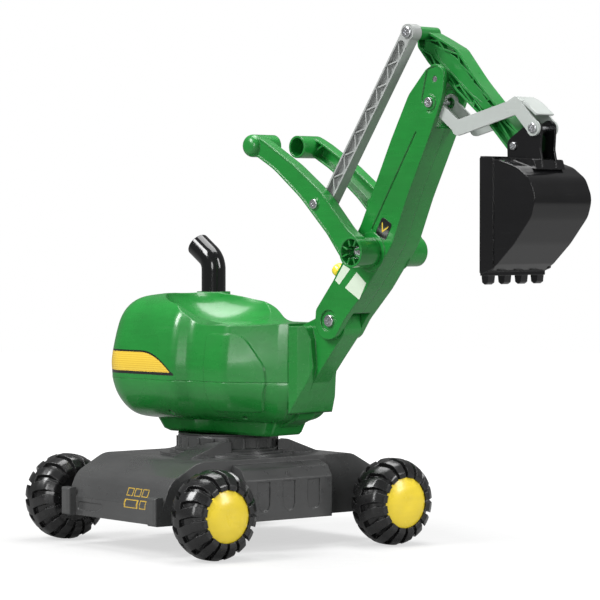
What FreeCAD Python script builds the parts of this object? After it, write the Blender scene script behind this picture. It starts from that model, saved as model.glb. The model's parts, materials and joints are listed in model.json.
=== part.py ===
import FreeCAD, Part
import math
import os

# Ride-on digger: a swivelling seat body on a four-wheeled base, with a two-part arm and a bucket.
# Millimetres.  The origin is on the floor under the swivel axis.  +Z is up, +X points along the
# arm, away from the rider, and +Y is the rider's left.  The base is turned under the seat body.

V = FreeCAD.Vector

# ---- fits and walls ---------------------------------------------------------------------------
RUN = 0.06            # radial clearance of a pin in a bore that turns on it
SEAT = 0.10           # gap between two pieces of one body that are fastened together
SIDE = 0.5            # gap between the cheeks of a hinge
WALL = 3.0            # moulded wall
RIB = 2.4             # moulded rib

# ---- base -------------------------------------------------------------------------------------
BASE_TURN = -7.15     # the base is turned this far about the swivel axis (degrees)
WHEEL_R = 62.6        # over the lugs
WHEEL_W = 66.6
TRACK = 362.0         # between the wheels' middle planes
WHEELBASE = 320.0
AXLE_R = 4.0
HUBCAP_R = 36.5
LUGS = 16                # on each side of the tyre's middle rib
LUG_DEPTH = 5.5
BASE_HALF_W = 116.0   # main shell, along the axles
BASE_HALF_L = 200.0   # along the rolling direction
BASE_LOW = 44.0       # lower edge of the shell above the floor
BASE_CREASE = 70.0    # top of the upright apron
DECK_Z = 130.0
PANEL_HALF_W = 145.0  # side panels between the wheels
PANEL_HALF_L = 78.0
NECK_R = 72.0         # ribbed ring under the seat body
NECK_TOP = 158.0
KING_R = 5.0          # swivel bolt

# ---- seat body --------------------------------------------------------------------------------
TUB_Z = 160.5         # underside of the lower shell
SEAM_Z = 239.0        # joint between lower and upper shell
REAR_X = -154.0
BODY_HALF_W = 120.0
PANEL_PROUD = 3.0        # raised panels on the flanks
SEAT_Z = 319.0        # rim of the seat
HUMP_Z = 360.0        # top of the hump behind the rider
NOSE_X = 168.0        # where the upper shell ends and the nose begins
TONGUE_HALF = 17.0    # half width of the tongue that carries the boom

# ---- arm --------------------------------------------------------------------------------------
BOOM_FOOT = (229.0, 327.5)      # pivots as (X, Z)
LEVER_PIVOT = (309.0, 424.0)
STICK_PIVOT = (425.0, 657.0)
LINK_PIVOT = (416.0, 626.0)
ROD_LOW = (240.0, 490.0)
ROD_HIGH = (394.0, 720.0)
BUCKET_PIVOT = (555.0, 565.0)
BUCKET_LINK = (591.0, 588.0)
GRIP = (118.0, 572.0)
BOOM_HALF = 27.0
EAR = 6.5                       # thickness of the ears at the boom's top
STICK_HALF = 12.0
BUCKET_EAR = 3.4                # thickness of the bucket's ears
LINK_ARM = 3.6                  # thickness of the link's arms
BUCKET_HALF = 58.0
BOLT_R = 4.0                    # bolts of the boom foot, levers and stick
SCREW_R = 3.0                   # bolts of bucket and link
LINK_PLAY = 4.6                 # radial play of the link's eye at the boom
LEVER_IN, LEVER_OUT = 49.0, 67.0
ROD_IN, ROD_OUT = 29.5, 46.5
HUB_R = 21.0
GRIP_R = 16.0


# ---- helpers ----------------------------------------------------------------------------------
def cyl(r, p, d, h):
    return Part.makeCylinder(r, h, V(*p), V(*d))


def box(x0, x1, y0, y1, z0, z1):
    return Part.makeBox(x1 - x0, y1 - y0, z1 - z0, V(x0, y0, z0))


def loop(corners, place):
    """Closed wire through (a, b, radius) corners; place(a, b) gives the 3-D point."""
    n = len(corners)
    spans = []
    for i, (a, b, r) in enumerate(corners):
        (pa, pb), (sa, sb) = corners[i - 1][:2], corners[(i + 1) % n][:2]
        lu, lw = math.hypot(pa - a, pb - b), math.hypot(sa - a, sb - b)
        ux, uy, wx, wy = (pa - a) / lu, (pb - b) / lu, (sa - a) / lw, (sb - b) / lw
        turn = math.acos(max(-1.0, min(1.0, ux * wx + uy * wy)))
        cut = min(r / math.tan(turn / 2), 0.48 * lu, 0.48 * lw) if r > 0 and turn < 3.13 else 0
        if cut < 0.05:
            spans.append(((a, b),))
            continue
        rr = cut * math.tan(turn / 2)
        bx, by = ux + wx, uy + wy
        bl = math.hypot(bx, by)
        reach = rr / math.sin(turn / 2)
        mid = (a + bx / bl * (reach - rr), b + by / bl * (reach - rr))
        spans.append(((a + ux * cut, b + uy * cut), mid, (a + wx * cut, b + wy * cut)))
    edges = []
    for i in range(n):
        here, after = spans[i], spans[(i + 1) % n]
        if len(here) == 3:
            edges.append(Part.Arc(*[place(*m) for m in here]).toShape())
        start, end = place(*here[-1]), place(*after[0])
        if start.distanceToPoint(end) > 1e-4:
            edges.append(Part.makeLine(start, end))
    return Part.Wire(edges)


def side_face(corners, y=0.0):
    return Part.Face(loop(corners, lambda a, b: V(a, y, b)))


def slab(corners, y0, y1):
    """Side outline (X, Z, radius) run across from y0 to y1."""
    return side_face(corners, y0).extrude(V(0, y1 - y0, 0))


def inset_slab(corners, inset, y0, y1):
    return side_face(corners, y0).makeOffset2D(-inset).extrude(V(0, y1 - y0, 0))


def bar(p, q, r, y0, y1):
    """Flat bar with round ends between two pivots."""
    ux, uz = q[0] - p[0], q[1] - p[1]
    length = math.hypot(ux, uz)
    nx, nz = -uz / length * r, ux / length * r
    ends = [(p[0] + nx, p[1] + nz, 0), (q[0] + nx, q[1] + nz, 0),
            (q[0] - nx, q[1] - nz, 0), (p[0] - nx, p[1] - nz, 0)]
    return join(slab(ends, y0, y1), [pin(p, r, y0, y1), pin(q, r, y0, y1)])


def pin(p, r, y0, y1):
    """Round bar across the arm at a pivot."""
    return cyl(r, (p[0], min(y0, y1), p[1]), (0, 1, 0), abs(y1 - y0))


def join(first, others):
    return first.fuse(others).removeSplitter()


def turned(profile, axis_point, axis_dir):
    return Part.Face(profile).revolve(V(*axis_point), V(*axis_dir), 360)


def polygon(points):
    return Part.makePolygon([V(*p) for p in points] + [V(*points[0])])


def hexagon(across, p, d, h):
    """Hexagonal prism from p along d."""
    r = across / math.sqrt(3)
    ring = [V(r * math.cos(math.radians(60 * i)), r * math.sin(math.radians(60 * i)), 0)
            for i in range(7)]
    prism = Part.Face(Part.makePolygon(ring)).extrude(V(0, 0, h))
    prism.Placement = FreeCAD.Placement(V(*p), FreeCAD.Rotation(V(0, 0, 1), V(*d)))
    return prism


def bolt(p, r, y_head, y_end, head_r, head_h):
    """Round-headed bolt across the arm with a cross recess in its head."""
    way = 1 if y_end > y_head else -1
    head = pin(p, head_r, y_head - way * head_h, y_head)
    rim = max(head.Edges, key=lambda e: -way * e.CenterOfMass.y)
    head = head.makeFillet(head_h * 0.45, [rim])
    body = join(head, [pin(p, r, y_head - way * 0.5, y_end)])
    top = y_head - way * head_h
    for w, h in ((head_r, head_r * 0.24), (head_r * 0.24, head_r)):
        body = body.cut(box(p[0] - w / 2, p[0] + w / 2, min(top, top + way * 1.4),
                            max(top, top + way * 1.4), p[1] - h / 2, p[1] + h / 2))
    return body


def nut(p, r, y0, y1, across):
    ring = hexagon(across, (p[0], min(y0, y1), p[1]), (0, 1, 0), abs(y1 - y0))
    return ring.cut(pin(p, r + SEAT, y0 - 1, y1 + 1) if y1 > y0 else pin(p, r + SEAT, y1 - 1, y0 + 1))


def washer(p, r, outer, y0, y1):
    return pin(p, outer, y0, y1).cut(pin(p, r + SEAT, min(y0, y1) - 1, max(y0, y1) + 1))


def mirror_y(shape):
    return shape.mirror(V(0, 0, 0), V(0, 1, 0))


def save(name, shape, base=False):
    shape = shape.copy()
    if base:
        shape.rotate(V(0, 0, 0), V(0, 0, 1), BASE_TURN)
    solids = shape.Solids
    out = solids[0] if len(solids) == 1 else Part.makeCompound(solids)
    print(name, len(solids), out.isValid(), round(out.Volume / 1000, 1))
    out.exportStep("parts/" + name + ".step")


def along(p, q, t):
    return (p[0] + (q[0] - p[0]) * t, p[1] + (q[1] - p[1]) * t)


# ---- wheels and axles (base frame: X along the axles, Y the rolling direction) -----------------
def wheel():
    """Blow-moulded wheel about the X axis, middle plane at X = 0, outer side towards +X."""
    half = WHEEL_W / 2
    tread = WHEEL_R - LUG_DEPTH
    recess = 16.0
    bore = AXLE_R + RUN

    def ring(drop):
        """Rounded tyre section, drawn in by drop."""
        side = [(half - drop * 0.7, 26, 0), (half - drop * 0.7, 44 - drop * 0.8, 6),
                (half - 10 - drop * 0.7, 57 - drop * 0.9, 18), (half - 24, WHEEL_R - drop, 22)]
        whole = side + [(-x, r, f) for x, r, f in side[::-1]]
        face = Part.Face(loop(whole, lambda p, q: V(p, 0, q)))
        return face.revolve(V(0, 0, 0), V(1, 0, 0), 360).fuse(
            cyl(27, (-half + drop * 0.7, 0, 0), (1, 0, 0), WHEEL_W - 1.4 * drop))

    body = ring(LUG_DEPTH)
    paddle = [V(0, -5.0, 34), V(0, -7.6, 60), V(0, 7.6, 60), V(0, 5.0, 34)]
    elbow = half - 10.0
    lugs = [cyl(WHEEL_R, (-3.2, 0, 0), (1, 0, 0), 6.4)]
    for side in (-1, 1):
        for i in range(LUGS):
            flank = Part.Face(Part.makePolygon(paddle + paddle[:1])).extrude(V(12, 0, 0))
            flank.translate(V(elbow, 0, 0))
            sweep = Part.makeBox(elbow + 2, 13.0, 22, V(-elbow - 1, -6.5, 44))
            sweep.rotate(V(0, 0, 0), V(0, 0, 1), 20)
            sweep.translate(V(elbow + 1, 0, 0))
            for lug in (flank, sweep):
                if side < 0:
                    lug = lug.mirror(V(0, 0, 0), V(1, 0, 0))
                lug.rotate(V(0, 0, 0), V(1, 0, 0), 360.0 / LUGS * (i + (0.5 if side > 0 else 0)))
                lugs.append(lug)
    lugs = lugs[0].multiFuse(lugs[1:]).common(ring(0.0))
    body = body.fuse(lugs)
    body = body.cut(cyl(HUBCAP_R + SEAT, (half - recess, 0, 0), (1, 0, 0), recess + 1))
    cavity = [(-half + 8, 0, 22), (-half + 8, 0, 34), (-half + 19, 0, 46), (-half + 28, 0, tread - 4),
              (half - 28, 0, tread - 4), (half - 19, 0, 46),
              (half - recess - WALL - 1, 0, HUBCAP_R + 4), (half - recess - WALL - 1, 0, 22)]
    body = body.cut(turned(polygon(cavity), (0, 0, 0), (1, 0, 0)))
    body = body.cut(cyl(3.0, (-half - 1, 30, 0), (1, 0, 0), 12))
    body = body.cut(cyl(bore, (-half - 1, 0, 0), (1, 0, 0), WHEEL_W + 2))
    for i in range(6):
        a = math.radians(60 * i + 30)
        body = body.cut(cyl(4.5, (-half - 1, 14 * math.cos(a), 14 * math.sin(a)), (1, 0, 0), 30))
    return body


def hubcap():
    """Domed cap that snaps into the wheel's recess and covers the axle's end."""
    half = WHEEL_W / 2
    z0 = half - 9.0
    flat = 4.0
    dome = [V(z0, 0, HUBCAP_R), V(half - 3.0, 0, HUBCAP_R), V(half + 1.6, 0, HUBCAP_R * 0.68),
            V(half + 3.0, 0, flat), V(half + 3.0, 0, 0), V(z0, 0, 0)]
    edges = [Part.makeLine(dome[0], dome[1]), Part.Arc(*dome[1:4]).toShape(),
             Part.makeLine(dome[3], dome[4]), Part.makeLine(dome[4], dome[5]),
             Part.makeLine(dome[5], dome[0])]
    cap = turned(Part.Wire(edges), (0, 0, 0), (1, 0, 0))
    inner = [(z0 - 1, 0, 0), (z0 - 1, 0, HUBCAP_R - WALL), (half - 4.5, 0, HUBCAP_R - WALL),
             (half - 1.2, 0, HUBCAP_R * 0.6), (half, 0, flat), (half, 0, 0)]
    return cap.cut(turned(polygon(inner), (0, 0, 0), (1, 0, 0)))


def placed(shape, sx, sy):
    """Put a wheel piece on its axle's end."""
    if sx < 0:
        shape = shape.mirror(V(0, 0, 0), V(1, 0, 0))
    shape = shape.copy()
    shape.translate(V(sx * TRACK / 2, sy * WHEELBASE / 2, WHEEL_R))
    return shape


# ---- base shell ---------------------------------------------------------------------------------
def base_block(inset, low):
    """Outer form of the base, or its hollow when inset by the wall."""
    l, w, top = BASE_HALF_L - inset, BASE_HALF_W - inset, DECK_Z - inset
    ends = [(-l, low, 0), (-l, BASE_CREASE, 3), (-l + 14, 104 - inset, 34), (-l + 62, top, 40),
            (l - 62, top, 40), (l - 14, 104 - inset, 34), (l, BASE_CREASE, 3), (l, low, 0)]
    wire = loop(ends, lambda a, b: V(-w, a, b))
    main = Part.Face(wire).extrude(V(2 * w, 0, 0))
    p, pw = PANEL_HALF_L - inset, PANEL_HALF_W - inset
    sides = [(-pw, low, 0), (-pw, 102 - inset, 4), (-pw + 10, 117 - inset, 6),
             (-pw + 40, DECK_Z - 4 - inset, 12), (pw - 40, DECK_Z - 4 - inset, 12),
             (pw - 10, 117 - inset, 6), (pw, 102 - inset, 4), (pw, low, 0)]
    wire = loop(sides, lambda a, b: V(a, -p, b))
    return join(main, [Part.Face(wire).extrude(V(0, 2 * p, 0))])


def base_shell():
    outer = base_block(0, BASE_LOW)
    for sx in (-1, 1):
        for sy in (-1, 1):
            # corner blocks that stand proud of the end plates
            x0 = sx * BASE_HALF_W
            block = box(min(x0, x0 - sx * 20), max(x0, x0 - sx * 20), 0, 14, BASE_LOW, BASE_CREASE + 14)
            block = block.makeFillet(5, [e for e in block.Edges if abs(e.CenterOfMass.y - 14) < 0.1])
            if sy < 0:
                block = block.mirror(V(0, 0, 0), V(0, 1, 0))
            block = block.copy()
            block.translate(V(0, sy * BASE_HALF_L, 0))
            outer = outer.fuse(block)
    for sy in (-1, 1):
        # raised step that rises towards the neck
        step = [(0, 100, 0), (0, 151, 0), (60, 151, 10), (168, 112, 6), (168, 90, 0)]
        wire = loop(step, lambda a, b: V(26, sy * a, b))
        outer = outer.fuse(Part.Face(wire).extrude(V(40, 0, 0)))
    outer = outer.cut(cyl(NECK_R + 6, (0, 0, DECK_Z + 6), (0, 0, 1), 60))
    outer = outer.fuse([cyl(NECK_R + 26, (0, 0, DECK_Z - 10), (0, 0, 1), 13),
                        cyl(NECK_R + 12, (0, 0, DECK_Z - 10), (0, 0, 1), 16)])
    hollow = base_block(WALL, BASE_LOW - 1)
    shell = outer.cut(hollow)
    for sy in (-1, 1):
        # pocket under each step
        step = [(60, 100, 0), (78, 141, 0), (84, 139, 0), (162, 110, 3), (162, 90, 0)]
        wire = loop(step, lambda a, b: V(26 + WALL, sy * a, b))
        shell = shell.cut(Part.Face(wire).extrude(V(40 - 2 * WALL, 0, 0)).cut(
            cyl(NECK_R + 16, (0, 0, 80), (0, 0, 1), 80)))
    extra = []
    for sy in (-1, 1):
        y = sy * WHEELBASE / 2
        tube = cyl(11, (-TRACK / 2 + WHEEL_W / 2 + 2.5, y, WHEEL_R), (1, 0, 0), TRACK - WHEEL_W - 5)
        extra.append(tube)
        extra.append(box(-BASE_HALF_W + 1, BASE_HALF_W - 1, y - RIB / 2, y + RIB / 2, WHEEL_R, 104))
    extra.append(cyl(18, (0, 0, 92), (0, 0, 1), DECK_Z - 90))
    for x in (-60, 60):
        extra.append(box(x - RIB / 2, x + RIB / 2, -BASE_HALF_L + 2, BASE_HALF_L - 2, 60, 74))
        extra.append(box(x - RIB / 2, x + RIB / 2, -138, 138, 73, DECK_Z - 2))
    extra.append(box(-PANEL_HALF_W + 2, PANEL_HALF_W - 2, -RIB / 2, RIB / 2, 96, 112))
    extra.append(box(-116, 116, -RIB / 2, RIB / 2, 111, DECK_Z - 6))
    shell = join(shell, extra)
    shell = shell.cut(cyl(9.0, (0, 0, 80), (0, 0, 1), 12.5))
    shell = shell.cut(cyl(KING_R + SEAT, (0, 0, 60), (0, 0, 1), 120))
    for sy in (-1, 1):
        shell = shell.cut(cyl(AXLE_R + SEAT, (-TRACK / 2, sy * WHEELBASE / 2, WHEEL_R), (1, 0, 0), TRACK))
    for sx in (-1, 1):
        for y in (-45.0, 0.0, 45.0):
            # three upright grooves in each side panel
            x0 = sx * PANEL_HALF_W
            groove = box(min(x0, x0 - sx * 1.6), max(x0, x0 - sx * 1.6), y - 11, y + 11, 68, 99)
            groove = groove.fuse(cyl(11, (min(x0, x0 - sx * 1.6), y, 68), (1, 0, 0), 1.6))
            shell = shell.cut(groove)
    for sy in (-1, 1):
        # shallow trapezoid panel beside the end plate's middle ridge
        tri = [(-92, 52, 3), (-92, 64, 3), (-20, 64, 3), (-46, 52, 3)]
        wire = loop(tri, lambda a, b: V(a, sy * (BASE_HALF_L - 1.5), b))
        shell = shell.cut(Part.Face(wire).extrude(V(0, sy * 4, 0)))
    return shell


def neck_ring():
    prof = [(NECK_R - 4, 0, DECK_Z + 6), (NECK_R + 4, 0, DECK_Z + 6), (NECK_R + 4, 0, DECK_Z + 9),
            (NECK_R, 0, DECK_Z + 11), (NECK_R, 0, NECK_TOP - 3), (NECK_R - 1, 0, NECK_TOP),
            (NECK_R - 9, 0, NECK_TOP), (NECK_R - 9, 0, NECK_TOP - 4), (NECK_R - 4, 0, NECK_TOP - 6)]
    ring = turned(polygon(prof), (0, 0, 0), (0, 0, 1))
    floor = cyl(NECK_R - 3, (0, 0, DECK_Z + 6), (0, 0, 1), WALL)
    hub = cyl(14, (0, 0, DECK_Z + 6), (0, 0, 1), NECK_TOP - DECK_Z - 6)
    ribs = []
    for i in range(20):
        a = math.radians(18 * i)
        ribs.append(cyl(3.0, ((NECK_R - 0.8) * math.cos(a), (NECK_R - 0.8) * math.sin(a), DECK_Z + 8),
                        (0, 0, 1), NECK_TOP - DECK_Z - 11))
    for a in (0, 60, 120):
        web = box(-NECK_R + 6, NECK_R - 6, -RIB / 2, RIB / 2, DECK_Z + 7, NECK_TOP - 8)
        web.rotate(V(0, 0, 0), V(0, 0, 1), a)
        ribs.append(web)
    ring = join(ring, [floor, hub] + ribs)
    return ring.cut(cyl(KING_R + SEAT, (0, 0, DECK_Z), (0, 0, 1), 60))


# ---- seat body ----------------------------------------------------------------------------------
def plan(inset, z, nose=0.0):
    """Plan outline of the seat body at height z, drawn in by inset; nose lengthens its front."""
    i = inset
    half = [(REAR_X + i, 0, 0), (REAR_X + i, BODY_HALF_W - i, max(58 - i, 12)),
            (8 - 0.3 * i, BODY_HALF_W - i, 22), (30 - 0.3 * i, BODY_HALF_W - 16 - 0.9 * i, 22),
            (92 + 0.6 * nose, BODY_HALF_W - 20 - 0.85 * i, 26), (NOSE_X - 12 + nose, 54 - 0.25 * i, 14),
            (NOSE_X + nose, 44 - 0.2 * i, 4), (NOSE_X + nose, 0, 0)]
    whole = half + [(x, -y, r) for x, y, r in half[-2:0:-1]]
    return loop(whole, lambda a, b: V(a, b, z))


def hull(levels, grow=0.0, ruled=False):
    """Stacked plan outlines as (height, inset, nose) steps; grow > 0 draws each in by a wall."""
    return Part.makeLoft([plan(i + grow, z, nose - grow) for z, i, nose in levels], True, ruled)


TUB = [(TUB_Z, 74.0, -50.0), (TUB_Z + 4, 68.0, -46.0), (TUB_Z + 24, 60.0, -36.0)]
BOWL = [(TUB_Z + 20, 56.0, -34.0), (TUB_Z + 24, 40.0, -22.0), (TUB_Z + 30, 29.0, -13.0),
        (TUB_Z + 42, 17.0, -5.0), (SEAM_Z - 18, 6.5, 0.0), (SEAM_Z, 1.5, 0.0)]
UPPER = [(SEAM_Z, 1.5, 0.0), (SEAM_Z + 18, 0.5, 0.0), (SEAM_Z + 45, 3.5, 0.0), (SEAM_Z + 72, 9.5, 0.0),
         (SEAM_Z + 92, 17.0, 0.0), (SEAM_Z + 106, 28.0, 0.0), (SEAM_Z + 116, 45.0, 0.0),
         (SEAM_Z + 122, 70.0, 0.0)]


def upper_profile(drop):
    """Side outline of the upper shell, lowered by drop for the inside."""
    return [(REAR_X - 10, SEAM_Z - 1, 0), (REAR_X - 10, HUMP_Z + 4 - drop, 0),
            (-110, HUMP_Z + 2 - drop, 60), (-60, HUMP_Z - drop, 60), (-12, HUMP_Z - 12 - drop, 60),
            (34, SEAT_Z - drop, 40), (120, SEAT_Z - drop, 100), (NOSE_X + 20, SEAT_Z + 5 - drop, 0),
            (NOSE_X + 20, SEAM_Z - 1, 0)]


def flank_panels():
    """Raised panels on both flanks, across the seam, as slabs wide enough to clip a grown hull."""
    outline = [(58, SEAM_Z - 42, 8), (58, SEAT_Z - 12, 8), (114, SEAT_Z - 12, 30), (141, SEAM_Z + 24, 30),
               (143, SEAM_Z, 0), (133, SEAM_Z - 42, 8)]
    pair = [slab(outline, 20, 130), slab(outline, -130, -20)]
    return Part.makeCompound(pair)


def seat_dish(drop):
    """Hollow of the seat as a stretched ball."""
    ball = Part.makeSphere(100)
    m = FreeCAD.Matrix()
    m.scale(0.96, 0.98, 0.60)
    ball = ball.transformGeometry(m)
    ball.translate(V(8, 0, HUMP_Z + 10 - drop))
    return ball


def upper_shell():
    outer = hull(UPPER).common(slab(upper_profile(0), -140, 140)).cut(seat_dish(0))
    inner = hull([(z - (WALL if z > SEAM_Z + 80 else 0), i, n) for z, i, n in UPPER], WALL)
    inner = inner.common(slab(upper_profile(WALL + 0.5), -140, 140)).cut(seat_dish(WALL + 1))
    proud = hull(UPPER, -PANEL_PROUD).common(flank_panels())
    shell = outer.fuse(proud.Solids).cut(inner)
    shell = shell.cut(box(NOSE_X, NOSE_X + 60, -130, 130, SEAM_Z - 5, SEAM_Z + 200))
    x, y = EXHAUST
    collar = cyl(25, (x, y, HUMP_Z - 30), (0, 0, 1), 31).cut(cyl(30, (x, y, HUMP_Z - 31), (0, 0, 1), 20))
    shell = join(shell, [collar])
    shell = shell.cut(cyl(PIPE_R + SEAT, (x, y, HUMP_Z - 8), (0, 0, 1), 20))
    bosses = []
    for bx, by in SHELL_SCREWS:
        bosses.append(cyl(6, (bx, by, SEAM_Z + 0.1), (0, 0, 1), 24))
        bosses.append(box(bx - 1.2, bx + 1.2, min(by, by * 1.9), max(by, by * 1.9), SEAM_Z + 0.1,
                          SEAM_Z + 22))
    shell = join(shell, [b.common(hull(UPPER, 1.0)) for b in bosses])
    for bx, by in SHELL_SCREWS:
        shell = shell.cut(cyl(2.0 + SEAT, (bx, by, SEAM_Z - 1), (0, 0, 1), 19))
    return shell


EXHAUST = (-100.0, 69.0)
PIPE_R = 18.0
SHELL_SCREWS = [(-120.0, 66.0), (-120.0, -66.0), (-20.0, 92.0), (-20.0, -92.0), (100.0, 62.0), (100.0, -62.0)]


def exhaust():
    """Pipe that stands on the hump and leans back at its top."""
    x, y = EXHAUST
    bend, lean, rise = 26.0, math.radians(55), 394.0
    z0 = HUMP_Z - 7.9
    c = V(x - bend, y, rise)
    a = V(x, y, rise)
    m = c + V(bend * math.cos(lean / 2), 0, bend * math.sin(lean / 2))
    b = c + V(bend * math.cos(lean), 0, bend * math.sin(lean))
    end = b + V(-math.sin(lean), 0, math.cos(lean)) * 27
    path = Part.Wire([Part.makeLine(V(x, y, z0), a), Part.Arc(a, m, b).toShape(), Part.makeLine(b, end)])
    outer = Part.Wire([Part.makeCircle(PIPE_R, V(x, y, z0), V(0, 0, 1))])
    inner = Part.Wire([Part.makeCircle(PIPE_R - WALL, V(x, y, z0), V(0, 0, 1))])
    pipe = path.makePipeShell([outer], True, True)
    return pipe.cut(path.makePipeShell([inner], True, True))


def tongue_outline():
    bx, bz = BOOM_FOOT
    return [(100, TUB_Z + 4, 0), (131, TUB_Z + 14, 10), (155, TUB_Z + 24, 10), (175, 208, 10),
            (190, 239, 8), (218, 273, 6), (bx + 22, bz - 16, 18), (bx + 20, bz + 20, 16),
            (bx - 10, bz + 22, 10), (bx - 30, bz + 4, 14), (NOSE_X + 2, SEAT_Z + 1, 6),
            (NOSE_X - 20, SEAT_Z - 10, 0), (NOSE_X - 20, SEAM_Z - 10, 0), (100, SEAM_Z - 30, 0)]


def nose_outline():
    return [(NOSE_X, TUB_Z + 34, 0), (178, 214, 8), (190, 240, 8), (197, 262, 6), (194, 300, 8),
            (188, SEAT_Z, 8), (NOSE_X, SEAT_Z, 0)]


def lower_shell():
    proud = hull(BOWL, -PANEL_PROUD).common(flank_panels())
    outer = hull(BOWL).fuse([hull(TUB, 0.0, True)] + proud.Solids)
    inner = hull([(z + (WALL if k < 3 else 0), i, n) for k, (z, i, n) in enumerate(BOWL)], WALL)
    inner = inner.fuse([hull([(TUB_Z + 4, 68.0, -46.0), (TUB_Z + 28, 60.0, -36.0)], WALL, True),
                        hull([(SEAM_Z - 1, 1.5, 0.0), (SEAM_Z + 1, 1.5, 0.0)], WALL, True)])
    cheek = slab(nose_outline(), -45, 45)
    keep = [(NOSE_X - 1, 45), (180, 38), (192, 27), (198, 24), (198, -24), (192, -27), (180, -38),
            (NOSE_X - 1, -45)]
    plan_cut = Part.Face(Part.makePolygon([V(x, y, TUB_Z) for x, y in keep + keep[:1]]))
    cheek = cheek.common(plan_cut.extrude(V(0, 0, 200)))
    hollow = [(NOSE_X - 8, 206, 0), (176, 212, 8), (187, 241, 8), (194, 262, 6), (191, 300, 8),
              (186, SEAT_Z - WALL, 5), (NOSE_X - 8, SEAT_Z - WALL, 0)]
    core = slab(hollow, -41, 41)
    keep_in = [(NOSE_X - 6, 41), (NOSE_X, 41), (178, 35), (189, 23), (189, -23), (178, -35), (NOSE_X, -41),
               (NOSE_X - 6, -41)]
    core = core.common(Part.Face(Part.makePolygon([V(x, y, TUB_Z) for x, y in keep_in + keep_in[:1]]))
                       .extrude(V(0, 0, 200)))
    tongue = slab(tongue_outline(), -TONGUE_HALF, TONGUE_HALF)
    gut = inset_slab(tongue_outline(), WALL, -TONGUE_HALF + WALL, TONGUE_HALF - WALL)
    gut = gut.cut(pin(BOOM_FOOT, 10, -30, 30))
    shell = outer.cut(inner)
    shell = shell.fuse(cheek).cut(core)
    shell = shell.fuse(tongue.cut(inner)).cut(gut)
    shell = shell.cut(inner.common(box(-200, NOSE_X - WALL, -TONGUE_HALF - 30, TONGUE_HALF + 30,
                                       TUB_Z, SEAM_Z + 0.5)))
    extra = [cyl(16, (0, 0, TUB_Z), (0, 0, 1), 10), pin(BOOM_FOOT, 9, -TONGUE_HALF, TONGUE_HALF)]
    for bx, by in SHELL_SCREWS:
        extra.append(cyl(5.5, (bx, by, TUB_Z + 30), (0, 0, 1), SEAM_Z - TUB_Z - 30).common(outer))
    for x in (-70, 70):
        web = box(x - RIB / 2, x + RIB / 2, -110, 110, TUB_Z + 2, TUB_Z + 34)
        extra.append(web.common(outer))
    shell = join(shell, extra)
    shell = shell.cut(box(REAR_X - 50, NOSE_X + SEAT, -130, 130, SEAM_Z, SEAM_Z + 200))
    shell = shell.cut(cyl(KING_R + RUN, (0, 0, TUB_Z - 1), (0, 0, 1), 20))
    shell = shell.cut(pin(BOOM_FOOT, BOLT_R + RUN, -60, 60))
    for bx, by in SHELL_SCREWS:
        shell = shell.cut(cyl(2.0 + SEAT, (bx, by, TUB_Z), (0, 0, 1), 100))
        shell = shell.cut(cyl(4.2, (bx, by, TUB_Z - 2), (0, 0, 1), SEAM_Z - TUB_Z - 8))
    return shell


def shell_screws():
    out = []
    for bx, by in SHELL_SCREWS:
        out.append(cyl(2.0, (bx, by, SEAM_Z - 12), (0, 0, 1), 27).fuse(
            cyl(4.0, (bx, by, SEAM_Z - 12.2), (0, 0, 1), 2.2)).removeSplitter())
    return Part.makeCompound(out)


# ---- boom ---------------------------------------------------------------------------------------
def boom_outline():
    fx, fz = BOOM_FOOT
    sx, sz = STICK_PIVOT
    return [(fx - 26, fz - 8, 22), (fx - 24, fz + 15, 10), (238, 383, 60), (291, 461, 90),
            (347, 577, 200), (379, 637, 40), (sx - 15, sz + 13, 8), (sx + 3, sz + 22, 12),
            (sx + 18, sz + 12, 12), (441, 636, 60), (418, 583, 90), (376, 498, 120), (349, 434, 80),
            (300, 372, 80), (fx + 30, fz + 2, 26), (fx + 10, fz - 27, 22), (fx - 14, fz - 25, 20)]


def boom_axis(t):
    """Point on the boom's middle line, t = 0 at the foot and 1 at the link pivot."""
    return along(BOOM_FOOT, LINK_PIVOT, t)


BOOM_SCREWS = [(272.0, 372.0), (333.0, 470.0), (352.0, 520.0), (380.0, 570.0)]


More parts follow.
